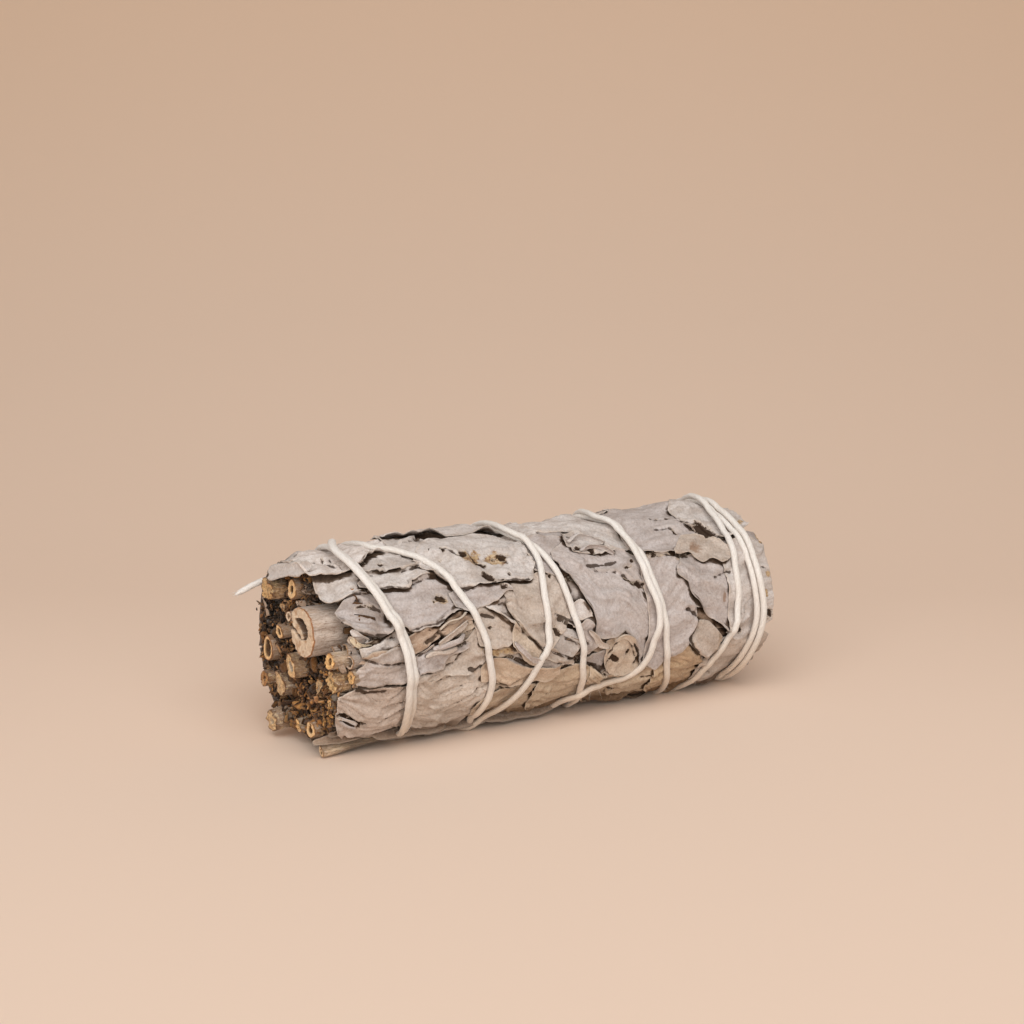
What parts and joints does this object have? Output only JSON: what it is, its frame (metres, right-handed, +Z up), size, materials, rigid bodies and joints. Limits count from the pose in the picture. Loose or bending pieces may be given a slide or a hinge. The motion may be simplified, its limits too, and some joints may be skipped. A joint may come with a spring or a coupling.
{
  "type": "smudge stick",
  "caption": "Bundle of dried sage leaves lying on its side, cut stems showing at one end, wound from end to end and back with one white cotton string.",
  "frame": {"origin": "centre of the underside of the whole object's box, on the surface it lies on", "axes": "+X along the bundle from the cut stems to the leaf-tip end, +Z up, the pictured side faces -Y"},
  "size_m": [0.1066, 0.0412, 0.0396],
  "materials": {
    "leaf_pale": "dry felted leaf, pale grey-mauve, matte",
    "leaf_warm": "dry felted leaf, warm grey-brown, matte",
    "leaf_tan": "dry smooth leaf, tan pink, matte",
    "crushed_leaf": "crushed dark inner leaf, crumbly",
    "stem": "cut woody stem, grey bark with a cream and ochre cut face",
    "string": "soft lightly twisted cotton"
  },
  "bodies": {
    "root": {"inner_leaf_pack": "crushed_leaf", "stem_curled": "stem", "stem_02": "stem", "stem_03": "stem", "stem_04": "stem", "stem_05": "stem", "stem_06": "stem", "stem_07": "stem", "stem_08": "stem", "stem_09": "stem", "stem_10": "stem", "stem_11": "stem", "stem_12": "stem", "stem_13": "stem", "stem_splayed": "stem", "leaf_back_01": "leaf_pale", "leaf_back_02": "leaf_pale", "leaf_back_03": "leaf_warm", "leaf_back_04": "leaf_warm", "leaf_back_05": "leaf_pale", "leaf_back_06": "leaf_tan", "leaf_back_07": "leaf_pale", "leaf_back_08": "leaf_warm", "leaf_back_09": "leaf_pale", "leaf_back_10": "leaf_pale", "leaf_back_11": "leaf_pale", "leaf_back_12": "leaf_warm", "leaf_back_13": "leaf_pale", "leaf_back_14": "leaf_pale", "leaf_back_15": "leaf_pale", "leaf_back_16": "leaf_warm", "leaf_front_01": "leaf_warm", "leaf_front_02": "leaf_warm", "leaf_front_03": "leaf_warm", "leaf_front_04": "leaf_warm", "leaf_front_05": "leaf_warm", "leaf_front_06": "leaf_warm", "leaf_front_07": "leaf_pale", "leaf_front_08": "leaf_warm", "leaf_front_09": "leaf_pale", "leaf_front_10": "leaf_pale", "leaf_front_11": "leaf_pale", "leaf_front_12": "leaf_warm", "leaf_front_13": "leaf_pale", "leaf_front_14": "leaf_pale", "leaf_front_15": "leaf_warm", "leaf_front_16": "leaf_pale", "leaf_front_17": "leaf_pale", "leaf_front_18": "leaf_pale", "leaf_front_19": "leaf_pale", "leaf_front_20": "leaf_tan", "leaf_front_21": "leaf_pale", "leaf_front_22": "leaf_pale", "leaf_front_23": "leaf_pale", "leaf_front_24": "leaf_pale", "leaf_front_25": "leaf_pale", "leaf_front_26": "leaf_pale", "leaf_front_27": "leaf_pale", "leaf_front_28": "leaf_tan", "cotton_string": "string"}
  },
  "joints": []
}
